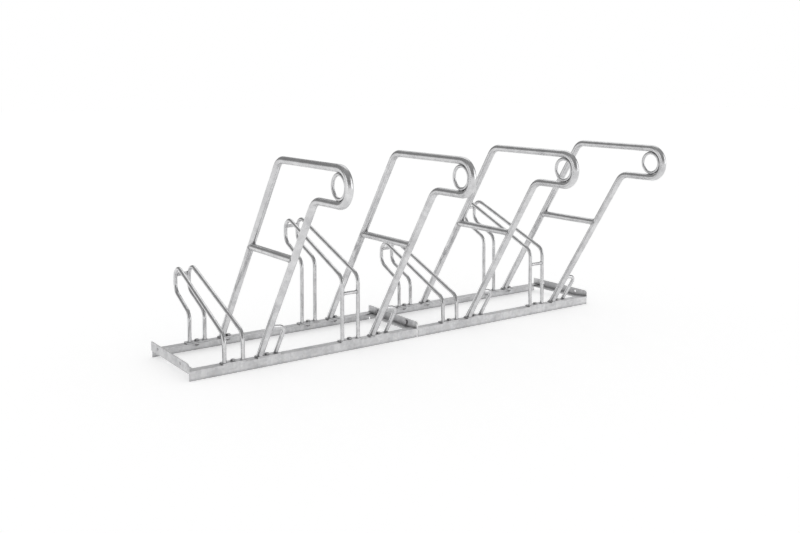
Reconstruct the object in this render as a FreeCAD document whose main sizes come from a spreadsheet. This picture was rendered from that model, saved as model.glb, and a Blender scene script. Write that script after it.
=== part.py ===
import FreeCAD, Part
import math
import os
import Sketcher
from FreeCAD import Placement, Rotation, Vector

# Floor bike rack: two equal galvanised modules, each with a low and a high wheel holder
# and two lean frames. X runs along the rack, -Y points to the rider's side, Z is up.
# The origin lies on the floor, at the centre of the rack's outline seen from above.

os.makedirs("parts", exist_ok=True)
doc = FreeCAD.newDocument("BikeRack")
sheet = doc.addObject("Spreadsheet::Sheet", "Sizes")

# Driving sizes, in mm. Depths are measured rearward from the front rail's outer face.
SIZES = [
    ("place_pitch", 500.0, "distance between neighbouring places, two to a module"),
    ("rack_depth", 360.0, "outer face of front rail to outer face of rear rail"),
    ("rail_h", 35.0, "height of the rail web"),
    ("rail_w", 35.0, "width of the rail flange"),
    ("steel_t", 4.0, "thickness of all the angle sections"),
    ("root_r", 4.0, "inner radius of a rolled angle"),
    ("toe_r", 2.0, "rounding of an angle's free edges"),
    ("angle_h", 35.0, "height of a cross angle's upright leg"),
    ("angle_w", 35.0, "width of a cross angle's flat leg"),
    ("angle_front_r", 17.0, "rounding of an upright leg's front corner"),
    ("angle_rear_r", 3.0, "rounding of an upright leg's rear corner"),
    ("angle_gap", 0.5, "clearance from a flat leg's end to the rail's root"),
    ("couple_hole_d", 11.0, "coupling hole"),
    ("couple_front", 75.0, "depth of the front coupling hole"),
    ("couple_rear_inset", 70.0, "rear coupling hole to the rear rail's outer face"),
    ("couple_rise", 12.5, "coupling holes above the rail's top"),
    ("couple_bolt_d", 10.0, "coupling bolt"),
    ("couple_hex", 17.0, "coupling bolt and nut across flats"),
    ("couple_head_t", 6.4, "coupling bolt head"),
    ("couple_nut_t", 8.0, "coupling nut"),
    ("couple_tail", 4.0, "coupling bolt beyond its nut"),
    ("foot_bolt_d", 10.0, "foot bolt"),
    ("foot_hex", 17.0, "foot bolt and nut across flats"),
    ("foot_head_t", 6.4, "foot bolt head"),
    ("foot_nut_t", 8.0, "foot nut"),
    ("foot_tail", 5.0, "foot bolt beyond its nut"),
    ("hex_rim", 0.95, "flat top of a hexagon, as a share of its width across flats"),
    ("hole_gap", 1.0, "foot bolt hole larger than the bolt"),
    ("nut_gap", 0.2, "nut bore larger than the bolt"),
    ("plate_t", 5.0, "thickness of the foot plates"),
    ("plate_w", 32.0, "depth of the foot plates"),
    ("plate_r", 3.0, "corner rounding of the foot plates"),
    ("plate_inset", 0.5, "foot plate to the rail's outer face"),
    ("bolt_inset", 17.0, "foot bolt to the rail's outer face"),
    ("holder_x", 178.5, "first wheel holder from the module's left end"),
    ("holder_end", 2.4, "holder foot plates beyond the front legs"),
    ("bar_d", 16.0, "round bar of the wheel holders and braces"),
    ("slot_front", 73.2, "spacing of a holder's front legs"),
    ("splay", 0.933, "turn of each hoop about its front leg, in degrees"),
    ("holder_front", 11.0, "depth of a holder's front legs"),
    ("holder_inset", 20.5, "a holder's rear legs to the rear rail's outer face"),
    ("holder_reach", 124.0, "rearmost upright of a hoop behind the rear rail"),
    ("knee_z", 139.0, "low hoop, corner of front leg and slope"),
    ("hip_z", 152.0, "low hoop, corner where the rear leg turns back"),
    ("back_z", 217.0, "low hoop, corner where it turns up again"),
    ("crown_z", 330.0, "low hoop, corner of rearmost upright and slope"),
    ("high_lift", 150.0, "a high holder above a low one"),
    ("hoop_r", 45.0, "bend radius of the hoops"),
    ("crown_r", 42.0, "bend radius at the top of the hoops"),
    ("tie_z", 273.0, "height of the tie between two low hoops"),
    ("tie_h", 14.5, "height of the tie"),
    ("tie_t", 5.0, "thickness of the tie"),
    ("front_bar_z", 225.0, "height of the bar between high front legs"),
    ("front_bar_d", 14.0, "bar between high front legs"),
    ("frame_x", 285.0, "first lean frame from the module's left end"),
    ("tube_d", 26.9, "lean frame tube"),
    ("tube_t", 2.6, "wall of the lean frame tube"),
    ("lean", 0.664, "forward lean of the legs per unit of height"),
    ("leg_front", 19.2, "depth of the front leg's axis at the rail's top"),
    ("leg_inset", 12.4, "rear leg's axis at the rail's top to the rear rail's outer face"),
    ("top_z", 780.0, "axis of the top bar"),
    ("bar_gap", 119.5, "axis of the top bar to axis of the lower bar"),
    ("cross_z", 438.0, "axis of the cross bar"),
    ("nose_reach", 609.0, "axis of the nose in front of the front rail"),
    ("frame_r", 60.0, "bend radius where the legs meet the bars"),
    ("nose_flat", 3.5, "straight piece between the two bends of the nose"),
    ("ring_d", 12.0, "round bar of the ring"),
    ("ring_gap", 1.25, "clearance from the ring to the nose in front of it"),
    ("brace_x", 65.5, "brace to the right of the front leg"),
    ("brace_rise", 148.0, "brace corner above the rail, along the leg"),
    ("brace_end", 158.0, "brace end on the leg's axis, along the leg"),
    ("brace_r", 36.0, "bend radius of the brace"),
    ("frame_end", 1.0, "frame foot plates beyond the leg on its left"),
    ("plate_end", 8.5, "frame foot plates beyond the brace or bolt head on its right"),
    ("front_bolt_x", 31.0, "front foot bolt to the right of the leg"),
    ("rear_bolt_x", 27.0, "rear foot bolt to the right of the leg"),
    ("below", 30.0, "how far a leaning leg is drawn below its foot before the cut"),
]

# Sizes that follow from the ones above.
DERIVED = [
    ("zero", "0 * rail_h"),
    ("module_len", "2 * place_pitch"),
    ("rail_len", "module_len - 2 * steel_t"),
    ("flange_z", "rail_h - steel_t"),
    ("rear_web", "rack_depth - steel_t"),
    ("rear_in", "rack_depth - rail_w"),
    ("flat_z", "rail_h - 2 * steel_t"),
    ("angle_top", "flat_z + angle_h"),
    ("flat_front", "steel_t + root_r + angle_gap"),
    ("flat_rear", "rack_depth - flat_front"),
    ("couple_rear", "rack_depth - couple_rear_inset"),
    ("couple_z", "rail_h + couple_rise"),
    ("plate_z", "rail_h + plate_t"),
    ("holder_rear", "rack_depth - holder_inset"),
    ("holder_back", "rack_depth + holder_reach"),
    ("leg_rear", "rack_depth - leg_inset"),
    ("front_y", "(nose_reach + tube_d / 2 - holder_back - bar_d / 2) / 2"),
    ("run_rear", "holder_rear - holder_front"),
    ("run_back", "holder_back - holder_front"),
    ("high_knee_z", "knee_z + high_lift"),
    ("high_hip_z", "hip_z + high_lift"),
    ("high_back_z", "back_z + high_lift"),
    ("high_crown_z", "crown_z + high_lift"),
    ("tie_top", "tie_z + tie_h"),
    ("high_tie_z", "tie_z + high_lift"),
    ("high_tie_top", "tie_top + high_lift"),
    ("tie_front", "holder_back - tie_t / 2"),
    ("tie_rear", "holder_back + tie_t / 2"),
    ("tie_len", "slot_front - 2 * tan(splay * 1deg) * run_back"),
    ("low_z", "plate_z - below"),
    ("rear_low_y", "leg_rear + lean * (rail_h - low_z)"),
    ("front_low_y", "leg_front + lean * (rail_h - low_z)"),
    ("lean_rise", "cos(atan(lean))"),
    ("low_bar_z", "top_z - bar_gap"),
    ("nose_r", "(bar_gap - nose_flat) / 2"),
    ("leg_run", "top_z / lean_rise"),
    ("top_y", "leg_rear - lean * (top_z - rail_h)"),
    ("knee_y", "leg_front - lean * (low_bar_z - rail_h)"),
    ("cross_y", "leg_rear - lean * (cross_z - rail_h)"),
    ("nose_y", "0 - nose_reach"),
    ("tube_bore", "tube_d - 2 * tube_t"),
    ("ring_z", "(top_z + low_bar_z) / 2"),
    ("ring_y", "nose_y + nose_r + nose_flat / 2 + ring_gap"),
    ("ring_path_r", "(bar_gap - tube_d - ring_d) / 2"),
    ("brace_low", "(low_z - rail_h) / lean_rise"),
    ("trim_front", "0 - 3 * tube_d"),
    ("trim_rear", "rack_depth + 3 * tube_d"),
    ("rear_plate_y", "rack_depth - plate_inset - plate_w"),
    ("front_bolt_y", "bolt_inset - plate_inset"),
    ("rear_bolt_y", "plate_w - front_bolt_y"),
    ("rear_row_y", "rack_depth - bolt_inset"),
    ("holder_half", "slot_front / 2 + bar_d / 2 + holder_end"),
    ("frame_left", "tube_d / 2 + frame_end"),
    ("front_right", "brace_x + bar_d / 2 + plate_end"),
    ("rear_right", "rear_bolt_x + foot_hex / 2 + plate_end"),
    ("foot_bore", "foot_bolt_d + hole_gap"),
    ("holder_bolt_1", "holder_x"),
    ("holder_bolt_2", "holder_x + place_pitch"),
    ("frame_front_1", "frame_x + front_bolt_x"),
    ("frame_front_2", "frame_x + front_bolt_x + place_pitch"),
    ("frame_rear_1", "frame_x + rear_bolt_x"),
    ("frame_rear_2", "frame_x + rear_bolt_x + place_pitch"),
]

for row, (alias, value, meaning) in enumerate(SIZES, 1):
    sheet.set("A%d" % row, alias)
    sheet.set("B%d" % row, str(value))
    sheet.set("C%d" % row, meaning)
    sheet.setAlias("B%d" % row, alias)
for row, (alias, formula) in enumerate(DERIVED, len(SIZES) + 1):
    sheet.set("A%d" % row, alias)
    sheet.set("B%d" % row, "=" + formula)
    sheet.setAlias("B%d" % row, alias)
doc.recompute()

NODES = []


def size(alias):
    """The value of one named size, with an optional minus sign in front."""
    if alias.startswith("-"):
        return -size(alias[1:])
    return float(sheet.get(alias))


def named(text):
    """A size's name, signed or not, as an expression."""
    if text.startswith("-"):
        return "-Sizes." + text[1:]
    return "Sizes." + text


def place(obj, x, y="0", z="0"):
    """Set an object in the rack, its depth counted from the front rail's outer face."""
    obj.setExpression("Placement.Base.x", x)
    obj.setExpression("Placement.Base.y", "Sizes.front_y + " + y)
    obj.setExpression("Placement.Base.z", z)


def keep(obj, name):
    """Name a finished piece and list it for export."""
    obj.Label = name
    NODES.append(obj)
    return obj


def sketch_on(body, role, x=None, y=None, z=None, tilt=None):
    """A sketch on one of the body's own base planes, shifted or tilted about X."""
    sk = body.newObject("Sketcher::SketchObject", "Sketch")
    plane = [f for f in body.Origin.OriginFeatures if f.Role == role][0]
    sk.AttachmentSupport = [(plane, "")]
    sk.MapMode = "FlatFace"
    if tilt:
        sk.AttachmentOffset = Placement(Vector(), Rotation(Vector(1, 0, 0), 10))
        sk.setExpression("AttachmentOffset.Rotation.Angle", tilt)
    for axis, text in (("x", x), ("y", y), ("z", z)):
        if text:
            sk.setExpression("AttachmentOffset.Base." + axis, text)
    return sk


def pin(sk, geo, pos, name_x, name_y):
    """Tie a sketch point to two named sizes."""
    i = sk.addConstraint(Sketcher.Constraint("DistanceX", -1, 1, geo, pos, size(name_x)))
    sk.setExpression("Constraints[%d]" % i, named(name_x))
    i = sk.addConstraint(Sketcher.Constraint("DistanceY", -1, 1, geo, pos, size(name_y)))
    sk.setExpression("Constraints[%d]" % i, named(name_y))


def circle(sk, name_x, name_y, name_d):
    """A circle at a named point with a named diameter."""
    centre = Vector(size(name_x), size(name_y), 0)
    g = sk.addGeometry(Part.Circle(centre, Vector(0, 0, 1), size(name_d) / 2))
    pin(sk, g, 3, name_x, name_y)
    i = sk.addConstraint(Sketcher.Constraint("Diameter", g, size(name_d)))
    sk.setExpression("Constraints[%d]" % i, named(name_d))


def near(sk, geo, point):
    """Which end of a sketch edge lies at a point."""
    return 1 if sk.getPoint(geo, 1).distanceToPoint(point) < 1e-4 else 2


def bend(pts, i, radius):
    """Start, middle and end of the arc at one corner, or the corner three times."""
    corner = pts[i]
    if radius is None:
        return corner, None, corner
    back = (pts[i - 1] - corner).normalize()
    ahead = (pts[(i + 1) % len(pts)] - corner).normalize()
    half = back.getAngle(ahead) / 2
    r = size(radius)
    reach = r / math.tan(half)
    middle = corner + (back + ahead).normalize() * (r / math.sin(half) - r)
    return corner + back * reach, middle, corner + ahead * reach


def bent_line(sk, corners, radii, closed=False):
    """Straight runs through named corners, with a tangent arc of named radius at each bend.

    A radius of None leaves a sharp corner; an open line has none at its two ends.
    """
    pts = [Vector(size(a), size(b), 0) for a, b in corners]
    count = len(pts)
    bends = [bend(pts, i, radii[i]) for i in range(count)]
    arcs = []
    runs = []
    for i, (start, middle, end) in enumerate(bends):
        arcs.append(sk.addGeometry(Part.Arc(start, middle, end)) if middle else None)
        if closed or i < count - 1:
            runs.append(sk.addGeometry(Part.LineSegment(end, bends[(i + 1) % count][0])))
    for i, (start, middle, end) in enumerate(bends):
        before = runs[i - 1] if closed or i > 0 else None
        after = runs[i] if i < len(runs) else None
        if middle is None:
            if before is not None and after is not None:
                sk.addConstraint(Sketcher.Constraint("Coincident", before, 2, after, 1))
            pin(sk, before if after is None else after, 2 if after is None else 1, *corners[i])
            continue
        dot = sk.addGeometry(Part.Point(pts[i]), True)
        pin(sk, dot, 1, *corners[i])
        sk.addConstraint(Sketcher.Constraint("PointOnObject", dot, 1, before))
        sk.addConstraint(Sketcher.Constraint("PointOnObject", dot, 1, after))
        arc = arcs[i]
        sk.addConstraint(Sketcher.Constraint("Tangent", before, 2, arc, near(sk, arc, start)))
        sk.addConstraint(Sketcher.Constraint("Tangent", after, 1, arc, near(sk, arc, end)))
        c = sk.addConstraint(Sketcher.Constraint("Radius", arc, size(radii[i])))
        sk.setExpression("Constraints[%d]" % c, named(radii[i]))


def block(sk, left, right, low, high, radius=None):
    """A rectangle between named sizes, its corners rounded if a radius is named."""
    corners = [(left, low), (right, low), (right, high), (left, high)]
    bent_line(sk, corners, [radius] * 4, closed=True)


def extrude(kind, body, sk, length, reverse=False, centred=False):
    """A Pad or Pocket of a sketch."""
    f = body.newObject("PartDesign::" + kind, kind)
    f.Profile = sk
    f.setExpression("Length", length)
    f.Reversed = reverse
    f.Midplane = centred
    return f


def pipe(body, section, path):
    """A section carried along a path."""
    f = body.newObject("PartDesign::AdditivePipe", "Pipe")
    f.Profile = section
    f.Spine = path
    return f


def new_body():
    return doc.addObject("PartDesign::Body", "Body")


def cut_by(base, tool):
    """A piece whose end is shaped to the piece it is welded to."""
    f = doc.addObject("Part::Cut", "Cut")
    f.Base = base
    f.Tool = tool
    return f


LEAN = "atan(Sizes.lean)"


def rail(name, module_left, front):
    """An angle rail: upright web on the outside, flange on top pointing inward."""
    body = new_body()
    section = sketch_on(body, "YZ_Plane")
    out, web, inner = ("zero", "steel_t", "rail_w") if front else ("rack_depth", "rear_web", "rear_in")
    corners = [
        (out, "zero"), (web, "zero"), (web, "flange_z"),
        (inner, "flange_z"), (inner, "rail_h"), (out, "rail_h"),
    ]
    bent_line(section, corners, [None, "toe_r", "root_r", "toe_r", None, None], closed=True)
    extrude("Pad", body, section, "Sizes.rail_len")
    holes = sketch_on(body, "XY_Plane", x="-Sizes.steel_t", z="Sizes.rail_h")
    row = "bolt_inset" if front else "rear_row_y"
    kind = "frame_front_%d" if front else "frame_rear_%d"
    for i in (1, 2):
        circle(holes, "holder_bolt_%d" % i, row, "foot_bore")
        circle(holes, kind % i, row, "foot_bore")
    extrude("Pocket", body, holes, "2 * Sizes.steel_t")
    place(body, module_left + " + Sizes.steel_t")
    keep(body, name)


def cross_angle(name, face_x, right):
    """The angle at a module's end: upright leg outside, flat leg under the rail flanges.

    right tells whether the flat leg points to the right of the upright one.
    """
    body = new_body()
    upright = sketch_on(body, "YZ_Plane")
    corners = [
        ("zero", "flat_z"), ("rack_depth", "flat_z"),
        ("rack_depth", "angle_top"), ("zero", "angle_top"),
    ]
    bent_line(upright, corners, [None, None, "angle_rear_r", "angle_front_r"], closed=True)
    circle(upright, "couple_front", "couple_z", "couple_hole_d")
    circle(upright, "couple_rear", "couple_z", "couple_hole_d")
    extrude("Pad", body, upright, "Sizes.steel_t", reverse=not right)
    flat = sketch_on(body, "XY_Plane", z="Sizes.flat_z")
    left, far = ("zero", "angle_w") if right else ("-angle_w", "zero")
    block(flat, left, far, "flat_front", "flat_rear")
    extrude("Pad", body, flat, "Sizes.steel_t")
    place(body, face_x)
    keep(body, name)


def foot_plate(name, x, front, left, right, bolt):
    """A flat plate on a rail's flange, with one bolt hole."""
    body = new_body()
    outline = sketch_on(body, "XY_Plane", z="Sizes.rail_h")
    block(outline, left, right, "zero", "plate_w", "plate_r")
    circle(outline, bolt, "front_bolt_y" if front else "rear_bolt_y", "foot_bore")
    extrude("Pad", body, outline, "Sizes.plate_t")
    place(body, x, "Sizes.plate_inset" if front else "Sizes.rear_plate_y")
    keep(body, name)


def hoop(name, x, high, right):
    """One bent round bar of a wheel holder.

    It rises at the rear, steps back, turns over at the top, slopes down to the front
    and drops straight to the front rail. Seen from above the two hoops open to the front.
    """
    body = new_body()
    lift = "high_" if high else ""
    path = sketch_on(body, "YZ_Plane")
    corners = [
        ("run_rear", "plate_z"), ("run_rear", lift + "hip_z"), ("run_back", lift + "back_z"),
        ("run_back", lift + "crown_z"), ("zero", lift + "knee_z"), ("zero", "plate_z"),
    ]
    bent_line(path, corners, [None, "hoop_r", "hoop_r", "crown_r", "hoop_r", None])
    section = sketch_on(body, "XY_Plane", z="Sizes.plate_z")
    circle(section, "zero", "run_rear", "bar_d")
    pipe(body, section, path)
    sign = "" if right else "-"
    body.Placement = Placement(Vector(), Rotation(Vector(0, 0, 1), 1))
    body.setExpression("Placement.Rotation.Angle", "%sSizes.splay * 1deg" % sign)
    place(body, "%s + (%sSizes.slot_front / 2)" % (x, sign), "Sizes.holder_front")
    return keep(body, name)


def wheel_holder(name, x, high):
    """Two hoops on a front and a rear foot plate, tied at the top and, if high, in front."""
    left = hoop(name + "_left_hoop", x, high, False)
    right = hoop(name + "_right_hoop", x, high, True)
    lift = "high_" if high else ""
    tie = new_body()
    section = sketch_on(tie, "YZ_Plane")
    block(section, "tie_front", "tie_rear", lift + "tie_z", lift + "tie_top")
    extrude("Pad", tie, section, "Sizes.tie_len", centred=True)
    place(tie, x)
    keep(cut_by(cut_by(tie, left), right), name + "_tie")
    if high:
        bar = new_body()
        section = sketch_on(bar, "YZ_Plane")
        circle(section, "holder_front", "front_bar_z", "front_bar_d")
        extrude("Pad", bar, section, "Sizes.slot_front", centred=True)
        place(bar, x)
        keep(cut_by(cut_by(bar, left), right), name + "_front_bar")
    foot_plate(name + "_front_foot", x, True, "-holder_half", "holder_half", "zero")
    foot_plate(name + "_rear_foot", x, False, "-holder_half", "holder_half", "zero")


def trim_feet(body):
    """Cut everything below the foot plates' top away."""
    area = sketch_on(body, "XY_Plane", z="Sizes.plate_z")
    block(area, "-front_right", "front_right", "trim_front", "trim_rear")
    extrude("Pocket", body, area, "2 * Sizes.below")


def leg_shape(body, low_y):
    """Shape a piece to the leaning leg it meets."""
    leg = sketch_on(body, "XY_Plane", y="Sizes." + low_y, z="Sizes.low_z", tilt=LEAN)
    circle(leg, "zero", "zero", "tube_d")
    extrude("Pocket", body, leg, "Sizes.leg_run", reverse=True)


def lean_frame(name, x):
    """The frame a bicycle leans on and is locked to, with its ring, bar, brace and feet."""
    tube = new_body()
    path = sketch_on(tube, "YZ_Plane")
    corners = [
        ("rear_low_y", "low_z"), ("top_y", "top_z"), ("nose_y", "top_z"),
        ("nose_y", "low_bar_z"), ("knee_y", "low_bar_z"), ("front_low_y", "low_z"),
    ]
    bent_line(path, corners, [None, "frame_r", "nose_r", "nose_r", "frame_r", None])
    section = sketch_on(tube, "XY_Plane", y="Sizes.rear_low_y", z="Sizes.low_z", tilt=LEAN)
    circle(section, "zero", "zero", "tube_d")
    circle(section, "zero", "zero", "tube_bore")
    pipe(tube, section, path)
    trim_feet(tube)
    place(tube, x)
    keep(tube, name + "_tube")

    bar = new_body()
    section = sketch_on(bar, "XZ_Plane", z="-Sizes.cross_y")
    circle(section, "zero", "cross_z", "tube_d")
    circle(section, "zero", "cross_z", "tube_bore")
    extrude("Pad", bar, section, "Sizes.leg_rear - Sizes.leg_front")
    leg_shape(bar, "rear_low_y")
    leg_shape(bar, "front_low_y")
    place(bar, x)
    keep(bar, name + "_cross_bar")

    ring = doc.addObject("Part::Torus", "Ring")
    ring.setExpression("Radius1", "Sizes.ring_path_r")
    ring.setExpression("Radius2", "Sizes.ring_d / 2")
    ring.Placement = Placement(Vector(), Rotation(Vector(0, 1, 0), 90))
    place(ring, x, "Sizes.ring_y", "Sizes.ring_z")
    keep(ring, name + "_ring")

    brace = new_body()
    path = sketch_on(brace, "XZ_Plane", y="Sizes.rail_h", z="-Sizes.leg_front", tilt=LEAN)
    corners = [("brace_x", "brace_low"), ("brace_x", "brace_rise"), ("zero", "brace_end")]
    bent_line(path, corners, [None, "brace_r", None])
    section = sketch_on(brace, "XY_Plane", y="Sizes.front_low_y", z="Sizes.low_z", tilt=LEAN)
    circle(section, "brace_x", "zero", "bar_d")
    pipe(brace, section, path)
    trim_feet(brace)
    leg_shape(brace, "front_low_y")
    place(brace, x)
    keep(brace, name + "_brace")

    foot_plate(name + "_front_foot", x, True, "-frame_left", "front_right", "front_bolt_x")
    foot_plate(name + "_rear_foot", x, False, "-frame_left", "rear_right", "rear_bolt_x")


def hexagon(flats, height):
    """A hexagon with its upper edge chamfered, standing on the XY plane."""
    prism = doc.addObject("Part::Prism", "Hexagon")
    prism.Polygon = 6
    prism.setExpression("Circumradius", "Sizes.%s / sqrt(3)" % flats)
    prism.setExpression("Height", "Sizes." + height)
    cone = doc.addObject("Part::Cone", "Chamfer")
    rim = "Sizes.hex_rim * Sizes.%s / 2" % flats
    cone.setExpression("Radius1", "%s + Sizes.%s * sqrt(3)" % (rim, height))
    cone.setExpression("Radius2", rim)
    cone.setExpression("Height", "Sizes." + height)
    common = doc.addObject("Part::MultiCommon", "Head")
    common.Shapes = [prism, cone]
    return common


def shaft(diameter, length, low):
    """An upright cylinder that starts at a given height."""
    c = doc.addObject("Part::Cylinder", "Shaft")
    c.setExpression("Radius", "(%s) / 2" % diameter)
    c.setExpression("Height", length)
    c.setExpression("Placement.Base.z", low)
    return c


def bolt(flats, head, diameter, length):
    """A hexagon bolt, its head on the XY plane and its shaft below it."""
    f = doc.addObject("Part::MultiFuse", "Bolt")
    f.Shapes = [hexagon(flats, head), shaft(diameter, length, "-(%s)" % length)]
    return f


def nut(flats, height, diameter):
    """A hexagon nut standing on the XY plane."""
    bore = shaft(diameter + " + Sizes.nut_gap", "3 * Sizes." + height, "-Sizes." + height)
    return cut_by(hexagon(flats, height), bore)


def group(name, pattern, spots, turn):
    """Like fasteners at several spots, as one group of separate solids."""
    links = []
    for x, y, z in spots:
        f = doc.addObject("App::Link", "Fastener")
        f.LinkedObject = pattern
        f.LinkTransform = False
        f.Placement = Placement(Vector(), turn)
        place(f, x, y, z)
        links.append(f)
    f = doc.addObject("Part::Compound", "Group")
    f.Links = links
    keep(f, name)


LEFT_MODULE = "-Sizes.module_len"
RIGHT_MODULE = "0"
for word, left in (("left", LEFT_MODULE), ("right", RIGHT_MODULE)):
    rail("front_rail_" + word, left, True)
    rail("rear_rail_" + word, left, False)
cross_angle("end_angle_left", LEFT_MODULE, True)
cross_angle("joint_angle_left", "0", False)
cross_angle("joint_angle_right", "0", True)
cross_angle("end_angle_right", "Sizes.module_len", False)

foot_spots = []
for module, left in enumerate((LEFT_MODULE, RIGHT_MODULE), 1):
    for place_no, step in enumerate(("", " + Sizes.place_pitch")):
        holder = left + " + Sizes.holder_x" + step
        frame = left + " + Sizes.frame_x" + step
        word = "high" if place_no else "low"
        wheel_holder("%s_holder_%d" % (word, module), holder, bool(place_no))
        lean_frame("lean_frame_%d" % (2 * module - 1 + place_no), frame)
        foot_spots += [
            (holder, "Sizes.bolt_inset"), (holder, "Sizes.rear_row_y"),
            (frame + " + Sizes.front_bolt_x", "Sizes.bolt_inset"),
            (frame + " + Sizes.rear_bolt_x", "Sizes.rear_row_y"),
        ]

UPRIGHT = Rotation()
DOWN = Rotation(Vector(1, 0, 0), 180)
grip = "Sizes.plate_t + Sizes.steel_t + Sizes.foot_nut_t + Sizes.foot_tail"
foot_bolt = bolt("foot_hex", "foot_head_t", "Sizes.foot_bolt_d", grip)
group("foot_bolts", foot_bolt, [(x, y, "Sizes.plate_z") for x, y in foot_spots], UPRIGHT)
foot_nut = nut("foot_hex", "foot_nut_t", "Sizes.foot_bolt_d")
group("foot_nuts", foot_nut, [(x, y, "Sizes.flange_z") for x, y in foot_spots], DOWN)

FACING_LEFT = Rotation(Vector(0, 1, 0), -90)
FACING_RIGHT = Rotation(Vector(0, 1, 0), 90)
grip = "2 * Sizes.steel_t + Sizes.couple_nut_t + Sizes.couple_tail"
couple_bolt = bolt("couple_hex", "couple_head_t", "Sizes.couple_bolt_d", grip)
couple_nut = nut("couple_hex", "couple_nut_t", "Sizes.couple_bolt_d")
rows = [("Sizes.couple_front", "Sizes.couple_z"), ("Sizes.couple_rear", "Sizes.couple_z")]
group("coupling_bolts", couple_bolt, [("-Sizes.steel_t", y, z) for y, z in rows], FACING_LEFT)
group("coupling_nuts", couple_nut, [("Sizes.steel_t", y, z) for y, z in rows], FACING_RIGHT)

doc.recompute()
for obj in doc.Objects:
    if "Invalid" in obj.State or "Error" in obj.State:
        raise RuntimeError("%s (%s): %s" % (obj.Name, obj.Label, obj.State))
for obj in NODES:
    shape = obj.Shape
    if shape.isNull() or not shape.isValid() or not shape.Solids:
        raise RuntimeError(obj.Label + " has no valid solid")
    shape.exportStep("parts/%s.step" % obj.Label)
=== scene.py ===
import math

import bmesh
import bpy
from bpy.props import FloatProperty, FloatVectorProperty, IntProperty, PointerProperty
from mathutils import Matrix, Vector


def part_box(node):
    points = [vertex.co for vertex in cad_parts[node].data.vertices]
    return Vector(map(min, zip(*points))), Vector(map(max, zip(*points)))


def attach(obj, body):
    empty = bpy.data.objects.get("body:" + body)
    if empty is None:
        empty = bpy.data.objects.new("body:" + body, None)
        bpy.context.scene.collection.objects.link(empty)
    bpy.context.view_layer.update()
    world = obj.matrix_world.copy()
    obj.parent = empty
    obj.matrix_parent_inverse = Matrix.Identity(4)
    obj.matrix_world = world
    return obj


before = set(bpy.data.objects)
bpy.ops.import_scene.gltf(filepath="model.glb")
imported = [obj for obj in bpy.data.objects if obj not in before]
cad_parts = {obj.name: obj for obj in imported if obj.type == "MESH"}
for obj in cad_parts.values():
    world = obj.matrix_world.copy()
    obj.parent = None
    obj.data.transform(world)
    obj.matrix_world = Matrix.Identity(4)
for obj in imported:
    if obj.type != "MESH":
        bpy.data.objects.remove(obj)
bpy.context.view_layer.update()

bl_info = {
    "name": "Galvanised Floor Bike Rack",
    "version": (1, 0, 0),
    "blender": (4, 5, 0),
    "location": "View3D > Sidebar > Bike Rack",
    "description": "Dresses a floor bike rack with welds, threads and hot-dip zinc, and lights it",
    "category": "Object",
}

MM = 0.001
BODY = "root"
FRAMES = ["lean_frame_%d" % i for i in (1, 2, 3, 4)]
HOLDERS = ["low_holder_1", "high_holder_1", "low_holder_2", "high_holder_2"]

ANGLE_NODES = [
    "front_rail_left", "front_rail_right", "rear_rail_left", "rear_rail_right",
    "end_angle_left", "joint_angle_left", "joint_angle_right", "end_angle_right",
]
TUBE_NODES = [f + part for f in FRAMES for part in ("_tube", "_cross_bar")]
BAR_NODES = [f + part for f in FRAMES for part in ("_ring", "_brace")]
BAR_NODES += [h + part for h in HOLDERS for part in ("_left_hoop", "_right_hoop")]
BAR_NODES += [h + "_front_bar" for h in HOLDERS if h.startswith("high")]
PLATE_NODES = [p + part for p in FRAMES + HOLDERS for part in ("_front_foot", "_rear_foot")]
PLATE_NODES += [h + "_tie" for h in HOLDERS]
BOLT_NODES = ["foot_bolts", "coupling_bolts"]
NUT_NODES = ["foot_nuts", "coupling_nuts"]

# Grain of the zinc, in waves per metre: the crystals' wandering edges and the fine grain.
WAVER_SCALE = 90.0
GRAIN_SCALE = 520.0

# Bolts of a group that are farther apart than this are separate ones.
FOOT_REACH = 40 * MM
COUPLING_REACH = 60 * MM

# A thread's ridge: half its width to the pitch, and how deep it sits to that half width.
RIDGE_WIDTH = 0.34
RIDGE_SUNK = 0.6

# Where the beads beside a ring lie, out and to the side, to the radius of its bar.
RING_BEAD_OUT = 0.80
RING_BEAD_SIDE = 0.62

# The room that the metal sees: sine of the height above the horizon, brightness.
ROOM = [
    (0.0, 1.0), (0.03, 0.80), (0.09, 0.50), (0.17, 0.26), (0.34, 0.24), (0.62, 0.28), (1.0, 0.34),
]

# Softboxes in that room: turn from the depth axis, height, half width (degrees), brightness.
SOFTBOXES = [(42.0, 46.0, 24.0, 0.95), (135.0, 12.0, 24.0, 1.5), (-84.0, 12.0, 18.0, 0.9)]


# ---------------------------------------------------------------------------- settings


class RackSteel(bpy.types.PropertyGroup):
    """Sizes of the sections that the welds follow."""

    tube: FloatProperty(
        name="Tube", description="Outer diameter of the lean frames' tube",
        default=26.9 * MM, unit="LENGTH")
    bar: FloatProperty(
        name="Bar", description="Diameter of the hoops' and braces' bar",
        default=16.0 * MM, unit="LENGTH")
    front_bar: FloatProperty(
        name="Front Bar", description="Diameter of the bar between high front legs",
        default=14.0 * MM, unit="LENGTH")
    lean: FloatProperty(
        name="Lean", description="Forward lean of the frames' legs per unit of height",
        default=0.664)


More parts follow.
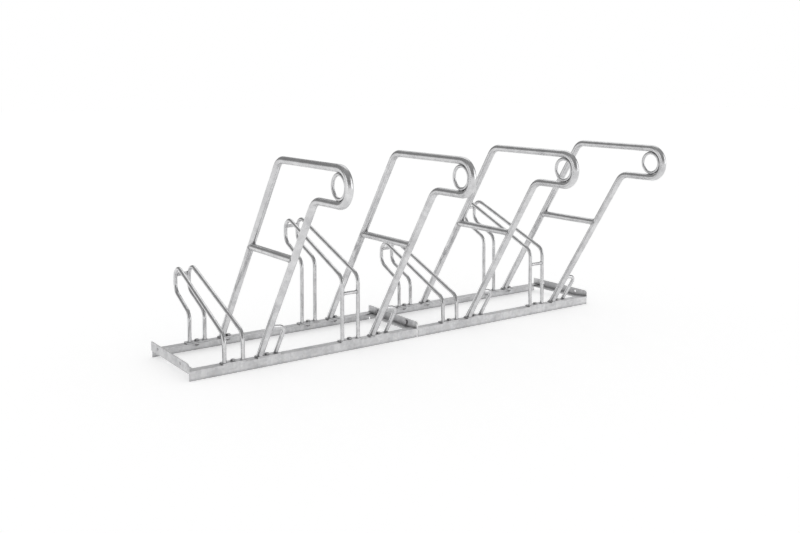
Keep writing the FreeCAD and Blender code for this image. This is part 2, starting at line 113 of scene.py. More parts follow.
class RackWelds(bpy.types.PropertyGroup):
    """Size and rhythm of the weld beads."""

    tube_bead: FloatProperty(
        name="Tube Bead", description="Radius of the bead round a tube",
        default=2.6 * MM, unit="LENGTH")
    bar_bead: FloatProperty(
        name="Bar Bead", description="Radius of the bead round a bar",
        default=1.9 * MM, unit="LENGTH")
    ring_bead: FloatProperty(
        name="Ring Bead", description="Radius of the bead between ring and tube",
        default=1.7 * MM, unit="LENGTH")
    ring_length: FloatProperty(
        name="Ring Weld", description="Length of each bead between ring and tube",
        default=24.0 * MM, unit="LENGTH")
    pitch: FloatProperty(
        name="Ripple Pitch", description="Distance from one ripple of a bead to the next",
        default=3.4 * MM, unit="LENGTH")
    ripple: FloatProperty(
        name="Ripple", description="Height of the ripples as a share of the bead",
        default=0.13, subtype="FACTOR", min=0.0, max=0.4)
    steps: IntProperty(
        name="Steps", description="Points of a bead's line to each ripple", default=6, min=4)


class RackThreads(bpy.types.PropertyGroup):
    """The threads that show beyond the nuts."""

    foot_pitch: FloatProperty(
        name="Foot Thread", description="Pitch of the foot bolts' thread",
        default=1.5 * MM, unit="LENGTH")
    foot_radius: FloatProperty(
        name="Foot Bolt", description="Radius of the foot bolts",
        default=5.0 * MM, unit="LENGTH")
    coupling_pitch: FloatProperty(
        name="Coupling Thread", description="Pitch of the coupling bolts' thread",
        default=1.5 * MM, unit="LENGTH")
    coupling_radius: FloatProperty(
        name="Coupling Bolt", description="Radius of the coupling bolts",
        default=5.0 * MM, unit="LENGTH")
    steps: IntProperty(
        name="Steps", description="Points of a thread's line to each turn", default=16, min=8)


class RackZinc(bpy.types.PropertyGroup):
    """Colours and grain of the zinc coat, and the painted shade in its corners."""

    light: FloatVectorProperty(
        name="Light Zinc", description="Colour of the bright patches",
        default=(0.80, 0.80, 0.805), subtype="COLOR", size=3)
    dark: FloatVectorProperty(
        name="Dark Zinc", description="Colour of the dull patches",
        default=(0.50, 0.50, 0.51), subtype="COLOR", size=3)
    worn: FloatVectorProperty(
        name="Worn Edge", description="Colour of rubbed edges",
        default=(0.86, 0.86, 0.86), subtype="COLOR", size=3)
    # Painted shade: the dark colour that corners, creases and the zinc under heads turn towards, in
    # place of the shade that falls there.
    painted_shade_colour: FloatVectorProperty(
        name="Painted_Shade", description="Colour of the dull zinc in corners",
        default=(0.13, 0.13, 0.135), subtype="COLOR", size=3)
    spangle: FloatProperty(
        name="Spangle", description="Size of the zinc crystals",
        default=9.0 * MM, unit="LENGTH")
    patch: FloatProperty(
        name="Patch", description="Size of the lighter and duller patches",
        default=55.0 * MM, unit="LENGTH")
    waver: FloatProperty(
        name="Waver", description="How far the edges of the crystals wander",
        default=6.0 * MM, unit="LENGTH")
    grain: FloatProperty(
        name="Grain", description="Share of the fine grain in the tone",
        default=0.22, subtype="FACTOR", min=0.0, max=1.0)
    relief: FloatProperty(
        name="Relief", description="Height of the zinc's surface relief",
        default=0.6 * MM, unit="LENGTH")
    # Painted shade: how far the darkening in corners reaches, and how much of it a closed corner
    # takes.
    painted_shade_reach: FloatProperty(
        name="Corner Reach", description="Distance within which a corner turns dull",
        default=12.0 * MM, unit="LENGTH")
    painted_shade_share: FloatProperty(
        name="Corner Share", description="How much of the grime a closed corner takes",
        default=0.75, subtype="FACTOR", min=0.0, max=1.0)


class RackStudio(bpy.types.PropertyGroup):
    """Camera and light, worked out from the photograph."""

    camera_place: FloatVectorProperty(
        name="Camera Place", description="Where the camera stands",
        default=(-2.2814, -3.0209, 1.0603), subtype="TRANSLATION", size=3)
    camera_turn: FloatProperty(
        name="Camera Turn", description="Turn of the view from the depth axis to the right",
        default=math.radians(35.397), subtype="ANGLE")
    camera_tilt: FloatProperty(
        name="Camera Tilt", description="How far the camera looks down",
        default=math.radians(2.473), subtype="ANGLE")
    focal_pixels: FloatProperty(
        name="Focal Length", description="Focal length in pixels of the 800 pixel wide picture",
        default=939.57)
    centre_row: FloatProperty(
        name="Centre Row", description="Row of the picture at which the camera points",
        default=120.0)
    sky_level: FloatProperty(
        name="Sky Level", description="Strength of the light from all round", default=0.72)
    floor_tone: FloatProperty(
        name="Floor Tone", description="How pale the floor is",
        default=0.80, subtype="FACTOR", min=0.0, max=1.0)
    floor_glow: FloatProperty(
        name="Floor Glow", description="Light that brings the open floor up to white", default=0.43)
    floor_half: FloatProperty(
        name="Floor", description="Half of the floor's side", default=30.0, unit="LENGTH")


SETTINGS = {
    "rack_steel": RackSteel,
    "rack_welds": RackWelds,
    "rack_threads": RackThreads,
    "rack_zinc": RackZinc,
    "rack_studio": RackStudio,
}


# ---------------------------------------------------------------------------- node helpers


def put(tree, kind, **sockets):
    """Add a node, with each named socket linked to a socket or set to a value."""
    node = tree.nodes.new(kind)
    for name, value in sockets.items():
        socket = node.inputs[name.replace("_", " ")]
        if isinstance(value, bpy.types.NodeSocket):
            tree.links.new(value, socket)
        else:
            socket.default_value = value
    return node


def maths(tree, operation, a, b=0.0, clamp=False):
    """One arithmetic step; a and b are sockets or numbers."""
    node = tree.nodes.new("ShaderNodeMath")
    node.operation = operation
    node.use_clamp = clamp
    for socket, value in zip(node.inputs, (a, b)):
        if isinstance(value, bpy.types.NodeSocket):
            tree.links.new(value, socket)
        else:
            socket.default_value = value
    return node.outputs[0]


def spread(tree, value, low, high):
    """Stretch a 0 to 1 value to a range."""
    node = put(tree, "ShaderNodeMapRange", Value=value)
    node.inputs["To Min"].default_value = low
    node.inputs["To Max"].default_value = high
    return node.outputs["Result"]


def blend(tree, factor, a, b):
    """Mix two colours; each is a socket or a colour."""
    node = tree.nodes.new("ShaderNodeMix")
    node.data_type = "RGBA"
    for socket, value in zip((node.inputs[0], node.inputs[6], node.inputs[7]), (factor, a, b)):
        if isinstance(value, bpy.types.NodeSocket):
            tree.links.new(value, socket)
        else:
            socket.default_value = value
    return node.outputs[2]


def rgba(colour):
    return (colour[0], colour[1], colour[2], 1.0)


def grey(level):
    return (level, level, level, 1.0)


def group(name, inputs, outputs):
    """An empty shader node group with named sockets; returns it with its two end nodes."""
    tree = bpy.data.node_groups.new(name, "ShaderNodeTree")
    for title, kind, default in inputs:
        socket = tree.interface.new_socket(name=title, in_out="INPUT", socket_type=kind)
        if default is not None:
            socket.default_value = default
    for title, kind in outputs:
        tree.interface.new_socket(name=title, in_out="OUTPUT", socket_type=kind)
    return tree, tree.nodes.new("NodeGroupInput"), tree.nodes.new("NodeGroupOutput")


def use_group(tree, name, **sockets):
    """Place a node group in a material with its own values."""
    node = tree.nodes.new("ShaderNodeGroup")
    node.node_tree = bpy.data.node_groups[name]
    for title, value in sockets.items():
        socket = node.inputs[title.replace("_", " ")]
        if isinstance(value, bpy.types.NodeSocket):
            tree.links.new(value, socket)
        else:
            socket.default_value = value
    return node


# ---------------------------------------------------------------------------- zinc finish

FLOAT = "NodeSocketFloat"
COLOUR = "NodeSocketColor"


def make_zinc_skin():
    """Hot-dip zinc: crystals, broad patches and a fine grain, as tone and height."""
    setting = bpy.context.scene.rack_zinc
    tree, start, end = group(
        "zinc_skin",
        [("Spangle", FLOAT, 0.01), ("Patch", FLOAT, 0.05), ("Crystal Share", FLOAT, 0.3)],
        [("Tone", FLOAT), ("Height", FLOAT)],
    )
    where = tree.nodes.new("ShaderNodeTexCoord").outputs["Object"]
    bend = put(tree, "ShaderNodeTexNoise", Vector=where, Scale=WAVER_SCALE, Detail=2.0)
    shift = tree.nodes.new("ShaderNodeVectorMath")
    shift.operation = "MULTIPLY_ADD"
    tree.links.new(bend.outputs["Color"], shift.inputs[0])
    shift.inputs[1].default_value = [setting.waver] * 3
    tree.links.new(where, shift.inputs[2])
    crystals = put(
        tree, "ShaderNodeTexVoronoi", Vector=shift.outputs[0],
        Scale=maths(tree, "DIVIDE", 1.0, start.outputs["Spangle"]))
    facet = put(tree, "ShaderNodeSeparateColor", Color=crystals.outputs["Color"]).outputs["Red"]
    patches = put(
        tree, "ShaderNodeTexNoise", Vector=where, Detail=4.0, Roughness=0.62,
        Scale=maths(tree, "DIVIDE", 1.0, start.outputs["Patch"])).outputs["Fac"]
    patches = spread(tree, patches, -0.75, 1.75)
    grain = put(
        tree, "ShaderNodeTexNoise", Vector=where, Scale=GRAIN_SCALE, Detail=3.0,
        Roughness=0.7).outputs["Fac"]
    broad = blend(tree, start.outputs["Crystal Share"], patches, facet)
    tone = blend(tree, setting.grain, broad, grain)
    tree.links.new(maths(tree, "ADD", tone, 0.0, clamp=True), end.inputs["Tone"])
    height = maths(tree, "ADD", maths(tree, "MULTIPLY", facet, 0.35), grain)
    tree.links.new(height, end.inputs["Height"])


def make_zinc_runs():
    """Streaks where the zinc ran off along Z as the piece was lifted from the bath."""
    tree, start, end = group(
        "zinc_runs", [("Width", FLOAT, 0.012), ("Length", FLOAT, 0.12)], [("Mask", FLOAT)])
    where = tree.nodes.new("ShaderNodeTexCoord").outputs["Object"]
    across = maths(tree, "DIVIDE", 1.0, start.outputs["Width"])
    along = maths(tree, "DIVIDE", 1.0, start.outputs["Length"])
    scale = put(tree, "ShaderNodeCombineXYZ", X=across, Y=across, Z=along).outputs[0]
    squeeze = tree.nodes.new("ShaderNodeVectorMath")
    squeeze.operation = "MULTIPLY"
    tree.links.new(where, squeeze.inputs[0])
    tree.links.new(scale, squeeze.inputs[1])
    noise = put(
        tree, "ShaderNodeTexNoise", Vector=squeeze.outputs[0], Scale=1.0, Detail=3.0).outputs["Fac"]
    mask = put(tree, "ShaderNodeMapRange", Value=noise)
    mask.inputs["From Min"].default_value = 0.52
    mask.inputs["From Max"].default_value = 0.72
    tree.links.new(mask.outputs["Result"], end.inputs["Mask"])


def make_rubbed_edges():
    """How far the surface turns within a small radius: 1 on an edge, 0 on a flat."""
    tree, start, end = group("rubbed_edges", [("Radius", FLOAT, 0.001)], [("Mask", FLOAT)])
    rounded = tree.nodes.new("ShaderNodeBevel")
    rounded.samples = 4
    tree.links.new(start.outputs["Radius"], rounded.inputs["Radius"])
    turn = tree.nodes.new("ShaderNodeVectorMath")
    turn.operation = "DOT_PRODUCT"
    tree.links.new(rounded.outputs[0], turn.inputs[0])
    tree.links.new(tree.nodes.new("ShaderNodeNewGeometry").outputs["Normal"], turn.inputs[1])
    mask = put(tree, "ShaderNodeMapRange", Value=turn.outputs["Value"])
    mask.inputs["From Min"].default_value = 0.99
    mask.inputs["From Max"].default_value = 0.80
    tree.links.new(mask.outputs["Result"], end.inputs["Mask"])


def make_painted_corner_shade():
    """Painted shade from ambient occlusion: how closed in the surface is, 1 in a corner or under a
    head, 0 in the open.
    """
    tree, start, end = group("painted_corner_shade", [("Reach", FLOAT, 0.01)], [("Mask", FLOAT)])
    open_sky = tree.nodes.new("ShaderNodeAmbientOcclusion")
    open_sky.samples = 6
    tree.links.new(start.outputs["Reach"], open_sky.inputs["Distance"])
    mask = put(tree, "ShaderNodeMapRange", Value=open_sky.outputs["AO"])
    mask.inputs["From Min"].default_value = 0.92
    mask.inputs["From Max"].default_value = 0.30
    tree.links.new(mask.outputs["Result"], end.inputs["Mask"])


def zinc(name, metal, rough, crystal_share,
         patch=1.0, runs=0.0, edges=0.0, shade=1.0, bump=0.1):
    """A zinc-coated steel.

    rough is its lowest and highest roughness, patch scales the size of its patches, runs and
    edges are the strengths of its streaks and rubbed edges, and shade dims its colours.
    """
    setting = bpy.context.scene.rack_zinc
    material = bpy.data.materials.new(name)
    material.use_nodes = True
    tree = material.node_tree
    shader = tree.nodes["Principled BSDF"]
    skin = use_group(
        tree, "zinc_skin", Spangle=setting.spangle, Patch=setting.patch * patch,
        Crystal_Share=crystal_share)
    tone = skin.outputs["Tone"]
    light = rgba([c * shade for c in setting.light])
    dark = rgba([c * shade for c in setting.dark])
    colour = blend(tree, tone, dark, light)
    if runs:
        streak = use_group(tree, "zinc_runs").outputs["Mask"]
        colour = blend(tree, maths(tree, "MULTIPLY", streak, runs), colour, dark)
    if edges:
        edge = use_group(tree, "rubbed_edges").outputs["Mask"]
        grit = maths(tree, "MULTIPLY", edge, tone)
        colour = blend(tree, maths(tree, "MULTIPLY", grit, edges), colour, rgba(setting.worn))
    # Painted shade: corners, creases and the zinc under heads are darkened by ambient occlusion.
    corner = use_group(tree, "painted_corner_shade", Reach=setting.painted_shade_reach).outputs["Mask"]
    corner = maths(tree, "MULTIPLY", corner, setting.painted_shade_share)
    colour = blend(tree, corner, colour, rgba(setting.painted_shade_colour))
    tree.links.new(colour, shader.inputs["Base Color"])
    tree.links.new(spread(tree, tone, rough[1], rough[0]), shader.inputs["Roughness"])
    shader.inputs["Metallic"].default_value = metal
    relief = put(
        tree, "ShaderNodeBump", Strength=bump, Distance=setting.relief,
        Height=skin.outputs["Height"])
    tree.links.new(relief.outputs["Normal"], shader.inputs["Normal"])
    return material


def weld_zinc():
    """The finish that all weld beads share."""
    return bpy.data.materials.get("zinc_weld") or zinc(
        "zinc_weld", metal=0.85, rough=(0.34, 0.5), crystal_share=0.1,
        patch=0.3, shade=0.92, bump=0.3)


def coat(nodes, material):
    """Give CAD nodes a material."""
    for name in nodes:
        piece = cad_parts[name]
        if not piece.material_slots:
            piece.data.materials.append(material)
        for slot in piece.material_slots:
            slot.material = material


# ---------------------------------------------------------------------------- weld lines


class BeadLines:
    """Collects lines of varying radius and turns them into one mesh piece."""

    def __init__(self, name, sides):
        self.name = name
        self.curve = bpy.data.curves.new(name, "CURVE")
        self.curve.dimensions = "3D"
        self.curve.bevel_depth = 1.0
        self.curve.bevel_resolution = sides
        self.curve.use_fill_caps = True

    def add(self, points, radii, closed):
        line = self.curve.splines.new("POLY")
        line.points.add(len(points) - 1)
        for knot, point, radius in zip(line.points, points, radii):
            knot.co = (*point, 1.0)
            knot.radius = radius
        line.use_cyclic_u = closed

    def weld(self, points, bead, closed=True):
        """Add a rippled bead along a line."""
        made, radii = rippled(points, bead, closed)
        self.add(made, radii, closed)

    def finish(self, material):
        """Make the mesh, with clean outward faces, and let it ride with the rack."""
        holder = bpy.data.objects.new(self.name + "_line", self.curve)
        bpy.context.scene.collection.objects.link(holder)
        bpy.context.view_layer.update()
        mesh = bpy.data.meshes.new_from_object(holder.evaluated_get(
            bpy.context.evaluated_depsgraph_get()))
        bpy.data.objects.remove(holder)
        shape = bmesh.new()
        shape.from_mesh(mesh)
        bmesh.ops.remove_doubles(shape, verts=shape.verts, dist=1e-7)
        bmesh.ops.recalc_face_normals(shape, faces=shape.faces)
        for face in shape.faces:
            face.smooth = True
        shape.to_mesh(mesh)
        shape.free()
        mesh.name = self.name
        piece = bpy.data.objects.new(self.name, mesh)
        bpy.context.scene.collection.objects.link(piece)
        mesh.materials.clear()
        mesh.materials.append(material)
        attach(piece, BODY)
        return piece


def rippled(points, radius, closed):
    """Resample a line to whole ripples and give each point its radius."""
    weld = bpy.context.scene.rack_welds
    path = points + [points[0]] if closed else points
    runs = [(b - a).length for a, b in zip(path, path[1:])]
    total = sum(runs)
    ripples = max(2, round(total / weld.pitch))
    count = ripples * weld.steps
    made = []
    radii = []
    for i in range(count if closed else count + 1):
        along = total * i / count
        k = 0
        while k < len(runs) - 1 and along > runs[k]:
            along -= runs[k]
            k += 1
        made.append(path[k].lerp(path[k + 1], along / runs[k]))
        swell = 1.0 + weld.ripple * math.cos(2 * math.pi * i / weld.steps)
        if not closed:
            swell *= min(1.0, 0.35 + 2.5 * min(i, count - i) / count)
        radii.append(radius * swell)
    return made, radii


def ring_points(centre, half_x, half_y, count=48):
    """A flat ellipse on a plate."""
    turns = [2 * math.pi * i / count for i in range(count)]
    return [centre + Vector((half_x * math.cos(a), half_y * math.sin(a), 0)) for a in turns]


def hit(start, along, foot, axis, radius):
    """Where a ray first meets the outside of a long cylinder, or where it passes closest."""
    off = start - foot
    flat = off - axis * off.dot(axis)
    step = along - axis * along.dot(axis)
    a, b, c = step.dot(step), 2 * flat.dot(step), flat.dot(flat) - radius * radius
    root = math.sqrt(max(0.0, b * b - 4 * a * c))
    return start + along * ((-b - root) / (2 * a))


def saddle(centre, along, radius, foot, axis, post, count=48):
    """The line on which a round bar that runs along a direction meets a round post."""
    side = along.orthogonal().normalized()
    other = along.cross(side)
    made = []
    for i in range(count):
        turn = 2 * math.pi * i / count
        start = centre + side * (radius * math.cos(turn)) + other * (radius * math.sin(turn))
        made.append(hit(start, along, foot, axis, post))
    return made


def feet(node):
    """Centre and half sizes of each round foot at a node's lowest level, front one first."""
    low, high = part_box(node)
    level = [v.co.copy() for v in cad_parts[node].data.vertices if v.co.z < low.z + 0.2 * MM]
    middle = (min(p.y for p in level) + max(p.y for p in level)) / 2
    found = []
    for part in ([p for p in level if p.y < middle], [p for p in level if p.y >= middle]):
        if not part:
            continue
        lo = Vector(min(p[k] for p in part) for k in range(3))
        hi = Vector(max(p[k] for p in part) for k in range(3))
        found.append(((lo + hi) / 2, (hi.x - lo.x) / 2, (hi.y - lo.y) / 2))
    return found


def clusters(node, reach):
    """The box of each separate fastener in a group node."""
    found = []
    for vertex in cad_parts[node].data.vertices:
        place = vertex.co
        for box in found:
            if (place - box["seed"]).length < reach:
                box["low"] = Vector(map(min, box["low"], place))
                box["high"] = Vector(map(max, box["high"], place))
                break
        else:
            found.append({"seed": place.copy(), "low": place.copy(), "high": place.copy()})
    return found


# ---------------------------------------------------------------------------- operators


class RACK_OT_zinc_groups(bpy.types.Operator):
    """Build the shader node groups that the zinc finishes share"""

    bl_idname = "rack.zinc_groups"
    bl_label = "Zinc Groups"

    def execute(self, context):
        make_zinc_skin()
        make_zinc_runs()
        make_rubbed_edges()
        make_painted_corner_shade()
        return {"FINISHED"}


class RACK_OT_angle_rails(bpy.types.Operator):
    """Finish the angle rails and cross angles in dull zinc with runs and rubbed edges"""

    bl_idname = "rack.angle_rails"
    bl_label = "Angle Rails"

    def execute(self, context):
        coat(ANGLE_NODES, zinc(
            "galvanised_angle", metal=0.85, rough=(0.38, 0.55), crystal_share=0.35,
            runs=0.3, edges=0.5))
        return {"FINISHED"}


class RACK_OT_lean_tubes(bpy.types.Operator):
    """Finish the lean frames' tubes in satin zinc"""

    bl_idname = "rack.lean_tubes"
    bl_label = "Lean Tubes"

    def execute(self, context):
        coat(TUBE_NODES, zinc(
            "galvanised_tube", metal=0.92, rough=(0.19, 0.32), crystal_share=0.2,
            patch=0.8, runs=0.15))
        return {"FINISHED"}


class RACK_OT_round_bars(bpy.types.Operator):
    """Finish hoops, rings, braces and front bars in satin zinc"""

    bl_idname = "rack.round_bars"
    bl_label = "Round Bars"

    def execute(self, context):
        coat(BAR_NODES, zinc(
            "galvanised_bar", metal=0.92, rough=(0.17, 0.30), crystal_share=0.2, patch=0.6))
        return {"FINISHED"}


class RACK_OT_flat_plates(bpy.types.Operator):
    """Finish foot plates and ties in dull zinc with rubbed edges"""

    bl_idname = "rack.flat_plates"
    bl_label = "Flat Plates"

    def execute(self, context):
        coat(PLATE_NODES, zinc(
            "galvanised_plate", metal=0.85, rough=(0.36, 0.52), crystal_share=0.35,
            patch=0.5, edges=0.6))
        return {"FINISHED"}


class RACK_OT_fasteners(bpy.types.Operator):
    """Finish bolts in darker plated zinc and nuts darker still, partly painted shade, and wind the
    threads that show
    """

    bl_idname = "rack.fasteners"
    bl_label = "Fasteners"

    def execute(self, context):
        thread = context.scene.rack_threads
        material = zinc(
            "zinc_fastener", metal=0.95, rough=(0.22, 0.36), crystal_share=0.1,
            patch=0.3, edges=0.6, shade=0.72)
        coat(BOLT_NODES, material)
        # Partly painted shade: the nuts take the zinc dimmed further, a darker plating together
        # with the shade of the sheltered places where they sit.
        coat(NUT_NODES, zinc(
            "shaded_zinc_nut", metal=0.95, rough=(0.25, 0.40), crystal_share=0.1,
            patch=0.3, edges=0.6, shade=0.42))
        lines = BeadLines("bolt_threads", 1)
        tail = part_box("foot_nuts")[0].z
        for box in clusters("foot_bolts", FOOT_REACH):
            middle = (box["low"] + box["high"]) / 2
            foot = Vector((middle.x, middle.y, box["low"].z))
            self.turns(lines, foot, Vector((0, 0, 1)), tail - foot.z,
                       thread.foot_radius, thread.foot_pitch, thread.steps)
        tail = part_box("coupling_nuts")[1].x
        for box in clusters("coupling_bolts", COUPLING_REACH):
            middle = (box["low"] + box["high"]) / 2
            tip = Vector((box["high"].x, middle.y, middle.z))
            self.turns(lines, tip, Vector((-1, 0, 0)), tip.x - tail,
                       thread.coupling_radius, thread.coupling_pitch, thread.steps)
        if not lines.curve.splines:
            raise RuntimeError("no bolts found for the threads")
        lines.finish(material)
        return {"FINISHED"}

    def turns(self, lines, foot, along, length, radius, pitch, steps):
        """A thread's ridge, wound round a bolt's tail and run out at both ends."""
        side = along.orthogonal().normalized()
        other = along.cross(side)
        ridge = pitch * RIDGE_WIDTH
        usable = length - 2 * ridge
        count = max(steps, int(steps * usable / pitch))
        points = []
        radii = []
        for i in range(count + 1):
            turn = 2 * math.pi * i / steps
            rise = ridge + usable * i / count
            out = radius - ridge * RIDGE_SUNK
            spoke = side * math.cos(turn) + other * math.sin(turn)
            points.append(foot + along * rise + spoke * out)
            radii.append(ridge * min(1.0, 0.2 + 3.0 * min(i, count - i) / steps))
        lines.add(points, radii, False)


class RACK_OT_frame_welds(bpy.types.Operator):
    """Weld each lean frame: feet, cross bar, brace and ring"""

    bl_idname = "rack.frame_welds"
    bl_label = "Frame Welds"

    def execute(self, context):
        steel = context.scene.rack_steel
        weld = context.scene.rack_welds
        material = weld_zinc()
        uphill = Vector((0, -steel.lean, 1)).normalized()
        for name in FRAMES:
            lines = BeadLines(name + "_welds", 2)
            legs = feet(name + "_tube")
            if len(legs) != 2:
                raise RuntimeError(name + " has no two feet")
            for centre, half_x, half_y in legs + feet(name + "_brace")[:1]:
                bead = weld.tube_bead if half_x > steel.bar else weld.bar_bead
                lines.weld(ring_points(centre, half_x, half_y), bead)
            low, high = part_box(name + "_cross_bar")
            middle = (low + high) / 2
            for foot, way in ((legs[0][0], -1), (legs[1][0], 1)):
                line = saddle(
                    middle, Vector((0, way, 0)), steel.tube / 2, foot, uphill, steel.tube / 2)
                lines.weld(line, weld.tube_bead)
            self.brace_tip(lines, name, legs[0][0], uphill, steel, weld)
            self.ring(lines, name, steel, weld)
            lines.finish(material)
        return {"FINISHED"}

    def brace_tip(self, lines, name, foot, uphill, steel, weld):
        """The bead where the brace meets the front leg."""
        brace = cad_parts[name + "_brace"].data.vertices
        near = [v.co for v in brace if v.co.x < foot.x + steel.tube / 2 + 0.5 * MM]
        if not near:
            raise RuntimeError(name + " has no brace end at the leg")
        points = [p.copy() for p in near]
        centre = sum(points, Vector()) / len(points)
        out = (centre - foot) - uphill * (centre - foot).dot(uphill)
        side = out.normalized()
        around = uphill
        across = side.cross(around)

        def turn_of(p):
            return math.atan2((p - centre).dot(across), (p - centre).dot(around))

        rim = {}
        for p in points:
            slot = round(turn_of(p) / (math.pi / 12))
            reach = math.hypot((p - centre).dot(across), (p - centre).dot(around))
            if slot not in rim or reach > rim[slot][0]:
                rim[slot] = (reach, p)
        order = [rim[k][1] for k in sorted(rim) if k < 12]
        lines.weld(order, weld.bar_bead)

    def ring(self, lines, name, steel, weld):
        """Short beads on both sides of the ring, where it touches the upper and lower bar."""
        low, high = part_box(name + "_ring")
        centre = (low + high) / 2
        outer = (high.z - low.z) / 2
        bar = (high.x - low.x) / 2
        path = outer - bar
        half = weld.ring_length / 2 / outer
        count = 12
        for up in (1, -1):
            for side in (1, -1):
                points = []
                for i in range(count + 1):
                    a = half * (2 * i / count - 1)
                    out = path + bar * RING_BEAD_OUT
                    points.append(Vector((
                        centre.x + side * bar * RING_BEAD_SIDE,
                        centre.y + out * math.sin(a),
                        centre.z + up * out * math.cos(a))))
                lines.weld(points, weld.ring_bead, closed=False)


class RACK_OT_holder_welds(bpy.types.Operator):
    """Weld each wheel holder: hoop feet, tie and front bar"""

    bl_idname = "rack.holder_welds"
    bl_label = "Holder Welds"

    def execute(self, context):
        steel = context.scene.rack_steel
        weld = context.scene.rack_welds
        material = weld_zinc()
        upright = Vector((0, 0, 1))
        for name in HOLDERS:
            lines = BeadLines(name + "_welds", 2)
            for side, hoop in ((-1, name + "_left_hoop"), (1, name + "_right_hoop")):
                legs = feet(hoop)
                if len(legs) != 2:
                    raise RuntimeError(hoop + " has no two feet")
                for centre, half_x, half_y in legs:
                    lines.weld(ring_points(centre, half_x, half_y), weld.bar_bead)
                if name.startswith("high"):
                    low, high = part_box(name + "_front_bar")
                    middle = (low + high) / 2
                    line = saddle(middle, Vector((side, 0, 0)), steel.front_bar / 2,
                                  legs[0][0], upright, steel.bar / 2)
                    lines.weld(line, weld.bar_bead)
                self.tie_end(lines, name, legs, side, steel, weld)
            lines.finish(material)
        return {"FINISHED"}

    def tie_end(self, lines, name, legs, side, steel, weld):
        """The bead round the end of the flat tie, on the hoop's rearmost upright."""
        low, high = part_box(name + "_tie")
        middle = (low + high) / 2
        turn = (legs[1][0].x - legs[0][0].x) / (legs[1][0].y - legs[0][0].y)
        post = Vector((legs[0][0].x + turn * (middle.y - legs[0][0].y), middle.y, 0))
        half_y, half_z = (high.y - low.y) / 2, (high.z - low.z) / 2
        outward, upright = Vector((side, 0, 0)), Vector((0, 0, 1))
        corners = [(-1, -1), (1, -1), (1, 1), (-1, 1)]
        points = []
        for (a, b), (c, d) in zip(corners, corners[1:] + corners[:1]):
            for i in range(6):
                u = a + (c - a) * i / 6
                v = b + (d - b) * i / 6
                start = Vector((middle.x, middle.y + u * half_y, middle.z + v * half_z))
                points.append(hit(start, outward, post, upright, steel.bar / 2))
        lines.weld(points, weld.ring_bead)


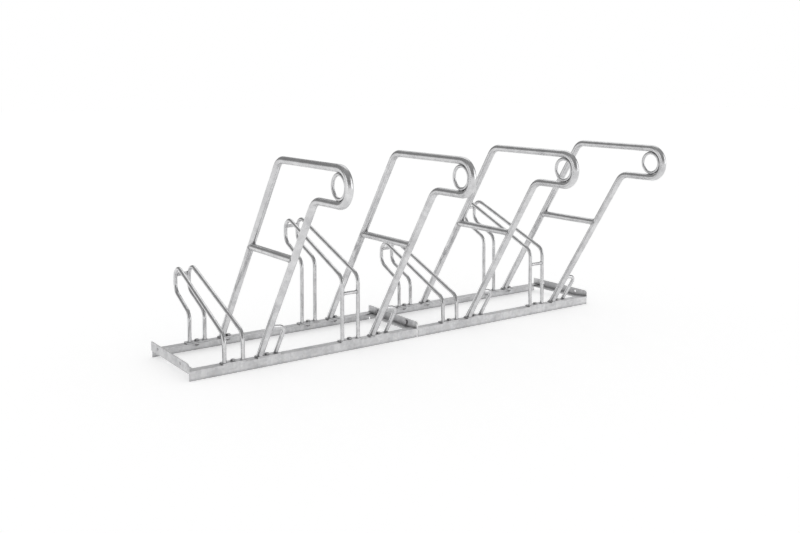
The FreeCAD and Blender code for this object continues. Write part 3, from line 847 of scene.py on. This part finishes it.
class RACK_OT_studio(bpy.types.Operator):
    """Set up the floor, the light and the photograph's camera"""

    bl_idname = "rack.studio"
    bl_label = "Studio"

    def execute(self, context):
        studio = context.scene.rack_studio
        self.floor(studio)
        self.sky(studio)
        self.camera(studio)
        context.scene.view_settings.view_transform = "Standard"
        return {"FINISHED"}

    def floor(self, studio):
        """A wide pale floor that keeps the rack's shadow and is white where nothing shades it."""
        shape = bmesh.new()
        bmesh.ops.create_grid(shape, x_segments=2, y_segments=2, size=studio.floor_half)
        mesh = bpy.data.meshes.new("floor")
        shape.to_mesh(mesh)
        shape.free()
        plane = bpy.data.objects.new("floor", mesh)
        bpy.context.scene.collection.objects.link(plane)
        material = bpy.data.materials.new("pale_floor")
        material.use_nodes = True
        tree = material.node_tree
        tree.nodes.clear()
        matt = put(tree, "ShaderNodeBsdfDiffuse", Color=grey(studio.floor_tone))
        ray = tree.nodes.new("ShaderNodeLightPath")
        seen = maths(tree, "ADD", ray.outputs["Is Camera Ray"], ray.outputs["Is Glossy Ray"])
        seen = maths(tree, "ADD", seen, ray.outputs["Is Transmission Ray"], clamp=True)
        strength = maths(tree, "MULTIPLY", seen, studio.floor_glow)
        glow = put(tree, "ShaderNodeEmission", Strength=strength)
        both = tree.nodes.new("ShaderNodeAddShader")
        tree.links.new(matt.outputs[0], both.inputs[0])
        tree.links.new(glow.outputs[0], both.inputs[1])
        end = tree.nodes.new("ShaderNodeOutputMaterial")
        tree.links.new(both.outputs[0], end.inputs["Surface"])
        mesh.materials.append(material)

    def sky(self, studio):
        """Even light from all round; metal sees grey walls with a softbox on three sides."""
        world = bpy.data.worlds.new("studio")
        bpy.context.scene.world = world
        world.use_nodes = True
        tree = world.node_tree
        tree.nodes.clear()
        way = tree.nodes.new("ShaderNodeTexCoord").outputs["Generated"]
        rise = put(tree, "ShaderNodeSeparateXYZ", Vector=way).outputs["Z"]
        ramp = put(tree, "ShaderNodeValToRGB", Fac=rise)
        stops = ramp.color_ramp.elements
        stops[0].color = grey(ROOM[0][1])
        stops[1].color = grey(ROOM[-1][1])
        for place, level in ROOM[1:-1]:
            stops.new(place).color = grey(level)
        room = ramp.outputs["Color"]
        for turn, height, width, level in SOFTBOXES:
            room = self.softbox(tree, way, room, turn, height, width, level)
        ray = tree.nodes.new("ShaderNodeLightPath")
        seen = maths(tree, "ADD", ray.outputs["Is Camera Ray"], ray.outputs["Is Transmission Ray"])
        around = blend(tree, ray.outputs["Is Glossy Ray"], grey(studio.sky_level), room)
        colour = blend(tree, seen, around, grey(1.0))
        back = put(tree, "ShaderNodeBackground", Color=colour, Strength=1.0)
        end = tree.nodes.new("ShaderNodeOutputWorld")
        tree.links.new(back.outputs[0], end.inputs["Surface"])

    def softbox(self, tree, way, room, turn, height, width, level):
        """A soft round patch of light in the sky; angles in degrees."""
        turn, height, width = map(math.radians, (turn, height, width))
        aim = tree.nodes.new("ShaderNodeVectorMath")
        aim.operation = "DOT_PRODUCT"
        tree.links.new(way, aim.inputs[0])
        aim.inputs[1].default_value = (
            math.sin(turn) * math.cos(height), math.cos(turn) * math.cos(height), math.sin(height))
        glow = put(tree, "ShaderNodeMapRange", Value=aim.outputs["Value"])
        glow.interpolation_type = "SMOOTHSTEP"
        glow.inputs["From Min"].default_value = math.cos(width * 1.25)
        glow.inputs["From Max"].default_value = math.cos(width * 0.65)
        glow.inputs["To Max"].default_value = level
        patch = tree.nodes.new("ShaderNodeMix")
        patch.data_type = "RGBA"
        patch.blend_type = "ADD"
        patch.inputs[0].default_value = 1.0
        tree.links.new(room, patch.inputs[6])
        tree.links.new(glow.outputs["Result"], patch.inputs[7])
        return patch.outputs[2]

    def camera(self, studio):
        """The photograph's camera: nearly level, and shifted so that the rack sits in the frame."""
        width, height = 800, 533
        view = bpy.data.cameras.new("camera")
        view.sensor_width = 36.0
        view.lens = studio.focal_pixels / width * view.sensor_width
        view.shift_y = -((height - 1) / 2 - studio.centre_row) / width
        view.clip_end = 100.0
        holder = bpy.data.objects.new("camera", view)
        bpy.context.scene.collection.objects.link(holder)
        holder.location = studio.camera_place
        holder.rotation_euler = (math.pi / 2 - studio.camera_tilt, 0.0, -studio.camera_turn)
        bpy.context.scene.camera = holder


class RACK_PT_panel(bpy.types.Panel):
    """Lists the steps that dress the rack"""

    bl_label = "Bike Rack"
    bl_idname = "RACK_PT_panel"
    bl_space_type = "VIEW_3D"
    bl_region_type = "UI"
    bl_category = "Bike Rack"

    def draw(self, context):
        for step in STEPS:
            self.layout.operator(step.bl_idname)
        for name in SETTINGS:
            box = self.layout.box()
            settings = getattr(context.scene, name)
            for key in settings.bl_rna.properties.keys():
                if key not in ("rna_type", "name"):
                    box.prop(settings, key)


STEPS = [
    RACK_OT_zinc_groups,
    RACK_OT_angle_rails,
    RACK_OT_lean_tubes,
    RACK_OT_round_bars,
    RACK_OT_flat_plates,
    RACK_OT_fasteners,
    RACK_OT_frame_welds,
    RACK_OT_holder_welds,
    RACK_OT_studio,
]
CLASSES = [*SETTINGS.values(), *STEPS, RACK_PT_panel]


def register():
    for item in CLASSES:
        bpy.utils.register_class(item)
    for name, settings in SETTINGS.items():
        setattr(bpy.types.Scene, name, PointerProperty(type=settings))


def unregister():
    for name in SETTINGS:
        delattr(bpy.types.Scene, name)
    for item in reversed(CLASSES):
        bpy.utils.unregister_class(item)


def main():
    register()
    for step in STEPS:
        area, name = step.bl_idname.split(".")
        getattr(getattr(bpy.ops, area), name)()


if __name__ == "__main__":
    main()
